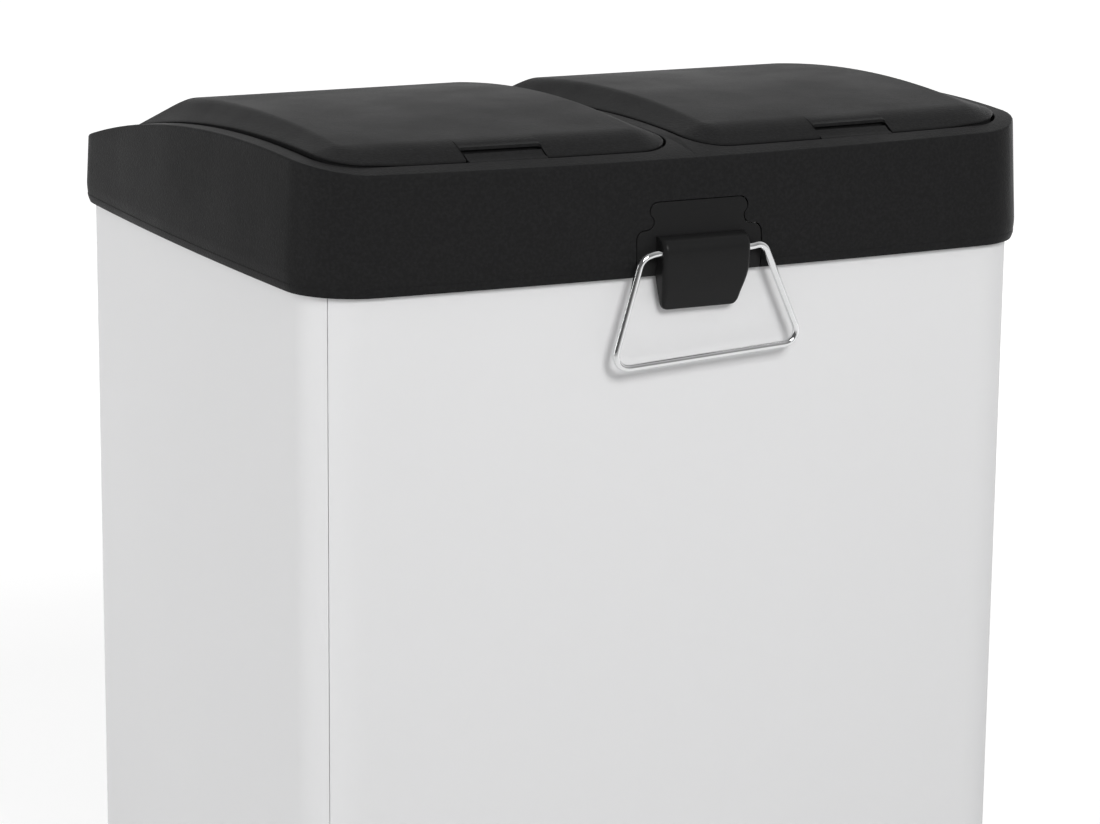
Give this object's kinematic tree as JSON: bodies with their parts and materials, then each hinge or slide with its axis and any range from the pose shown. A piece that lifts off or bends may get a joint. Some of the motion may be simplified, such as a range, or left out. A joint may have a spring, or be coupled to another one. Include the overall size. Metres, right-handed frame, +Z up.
{
  "type": "double recycling bin",
  "caption": "Double recycling bin: a bowed steel body with lift-out buckets under a moulded lid frame that swings up at the back and carries hinged flaps and a wire bail handle.",
  "frame": {"origin": "on the floor under the middle of the whole bin", "axes": "+Z up, the front with the bail handle looks along -Y, +X to the right as seen from the front"},
  "size_m": [0.531, 0.455, 0.6499],
  "materials": {
    "black_plastic": "fine matte grain",
    "bucket_plastic": "satin moulded",
    "painted_sheet": "pale grey satin paint",
    "bright_wire": "bright plated",
    "zinc_steel": "zinc plated",
    "foot_rubber": "matte"
  },
  "bodies": {
    "body": {"base_tray": "black_plastic", "front_panel": "painted_sheet", "rear_wrap": "painted_sheet", "foot_front_left": "foot_rubber", "foot_rear_left": "foot_rubber", "foot_front_right": "foot_rubber", "foot_rear_right": "foot_rubber", "hinge_rivet_1": "zinc_steel", "hinge_rivet_2": "zinc_steel", "hinge_rivet_3": "zinc_steel", "hinge_rivet_4": "zinc_steel", "top_rail": "black_plastic", "rail_pad_front_left": "foot_rubber", "rail_pad_rear_left": "foot_rubber", "rail_pad_front_right": "foot_rubber", "rail_pad_rear_right": "foot_rubber", "bucket_left": "bucket_plastic", "bucket_right": "bucket_plastic", "hinge_bracket_left": "zinc_steel", "hinge_bracket_right": "zinc_steel", "hinge_pin_left": "zinc_steel", "hinge_pin_right": "zinc_steel"},
    "frame": {"lid_frame": "black_plastic", "handle_bracket": "black_plastic", "bracket_screw_left": "zinc_steel", "bracket_screw_right": "zinc_steel", "flap_rod_left": "zinc_steel", "flap_rod_right": "zinc_steel"},
    "flap_left": {"flap_left": "black_plastic"},
    "flap_right": {"flap_right": "black_plastic"},
    "bail": {"bail_handle": "bright_wire"}
  },
  "joints": [
    {"name": "lid_frame_hinge", "type": "hinge", "parent": "body", "child": "frame", "pos_m": [0, 0.22255, 0.5465], "axis": [-1, 0, 0], "range_deg": [0, 80]},
    {"name": "flap_left_hinge", "type": "hinge", "parent": "frame", "child": "flap_left", "pos_m": [-0.12475, 0.14095, 0.61037], "axis": [-1, 0, 0], "range_deg": [0, 95]},
    {"name": "flap_right_hinge", "type": "hinge", "parent": "frame", "child": "flap_right", "pos_m": [0.12475, 0.14095, 0.61037], "axis": [-1, 0, 0], "range_deg": [0, 95]},
    {"name": "bail_swing", "type": "hinge", "parent": "frame", "child": "bail", "pos_m": [0, -0.22215, 0.5718], "axis": [-1, 0, 0], "range_deg": [-7, 175]}
  ]
}
